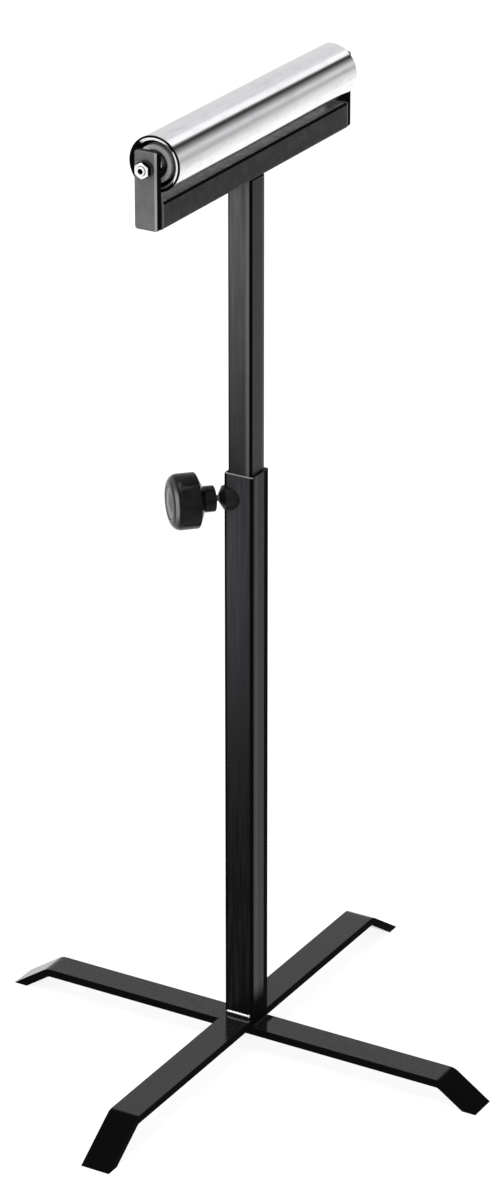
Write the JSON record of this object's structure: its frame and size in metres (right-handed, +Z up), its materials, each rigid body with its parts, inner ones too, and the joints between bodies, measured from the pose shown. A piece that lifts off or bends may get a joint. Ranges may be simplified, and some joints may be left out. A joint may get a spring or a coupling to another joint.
{
  "type": "roller stand",
  "caption": "Height-adjustable roller stand: chromed roller on a square mast, clamped by a side knob in a column on a cross base of flat bars.",
  "frame": {"origin": "on the floor under the column's axis, in the middle of the cross base", "axes": "+Z up along the column, X along the roller with the end seen in the picture at -X, Y along the lower leg bar"},
  "size_m": [0.5546, 0.514, 0.9601],
  "materials": {
    "black_enamel": "glossy black stove enamel on steel",
    "roller_chrome": "bright chromed steel tube",
    "zinc_plate": "bright zinc-plated steel",
    "turned_steel": "plain turned steel",
    "bearing_steel": "ground bearing steel",
    "black_plastic": "moulded black plastic"
  },
  "bodies": {
    "base": {"upper_leg_bar": "black_enamel", "lower_leg_bar": "black_enamel", "outer_column": "black_enamel", "clamp_boss": "black_enamel"},
    "clamp_screw": {"clamp_stud": "zinc_plate"},
    "clamp_handle": {"clamp_knob": "black_plastic"},
    "head": {"inner_column": "black_enamel", "head_beam": "black_enamel", "end_plate_near": "black_enamel", "end_plate_far": "black_enamel", "axle": "turned_steel", "axle_washer_near": "zinc_plate", "axle_washer_far": "zinc_plate", "axle_nut_near": "zinc_plate", "axle_nut_far": "zinc_plate", "axle_spacer_near": "turned_steel", "axle_spacer_far": "turned_steel", "bearing_inner_ring_near": "bearing_steel", "bearing_inner_ring_far": "bearing_steel"},
    "roller": {"roller_tube": "roller_chrome", "roller_housing_near": "turned_steel", "roller_housing_far": "turned_steel", "bearing_outer_ring_near": "bearing_steel", "bearing_outer_ring_far": "bearing_steel", "bearing_shield_outboard_near": "bearing_steel", "bearing_shield_inboard_near": "bearing_steel", "bearing_shield_outboard_far": "bearing_steel", "bearing_shield_inboard_far": "bearing_steel"},
    "ball_set_near": {"bearing_cage_near": "black_plastic", "bearing_ball_near_1": "bearing_steel", "bearing_ball_near_2": "bearing_steel", "bearing_ball_near_3": "bearing_steel", "bearing_ball_near_4": "bearing_steel", "bearing_ball_near_5": "bearing_steel", "bearing_ball_near_6": "bearing_steel", "bearing_ball_near_7": "bearing_steel"},
    "ball_set_far": {"bearing_cage_far": "black_plastic", "bearing_ball_far_1": "bearing_steel", "bearing_ball_far_2": "bearing_steel", "bearing_ball_far_3": "bearing_steel", "bearing_ball_far_4": "bearing_steel", "bearing_ball_far_5": "bearing_steel", "bearing_ball_far_6": "bearing_steel", "bearing_ball_far_7": "bearing_steel"}
  },
  "joints": [
    {"name": "height_slide", "type": "slide", "parent": "base", "child": "head", "axis": [0, 0, 1], "range_m": [-0.282, 0.14]},
    {"name": "roller_spin", "type": "hinge", "parent": "head", "child": "roller", "pos_m": [0, 0, 0.9347], "axis": [1, 0, 0], "continuous": true},
    {"name": "ball_orbit_near", "type": "hinge", "parent": "head", "child": "ball_set_near", "pos_m": [0, 0, 0.9347], "axis": [1, 0, 0], "continuous": true},
    {"name": "ball_orbit_far", "type": "hinge", "parent": "head", "child": "ball_set_far", "pos_m": [0, 0, 0.9347], "axis": [1, 0, 0], "continuous": true},
    {"name": "clamp_travel", "type": "slide", "parent": "base", "child": "clamp_screw", "axis": [-0.7071, 0.7071, 0], "range_m": [0, 0.003]},
    {"name": "clamp_turn", "type": "hinge", "parent": "clamp_screw", "child": "clamp_handle", "pos_m": [0, 0, 0.5715], "axis": [-0.7071, 0.7071, 0], "range_deg": [0, 1080]}
  ],
  "couplings": [
    {"joint": "ball_orbit_near", "follows": "roller_spin", "ratio": 0.632},
    {"joint": "ball_orbit_far", "follows": "roller_spin", "ratio": 0.632},
    {"joint": "clamp_travel", "follows": "clamp_turn", "m_per_rad": 0.00015915}
  ]
}
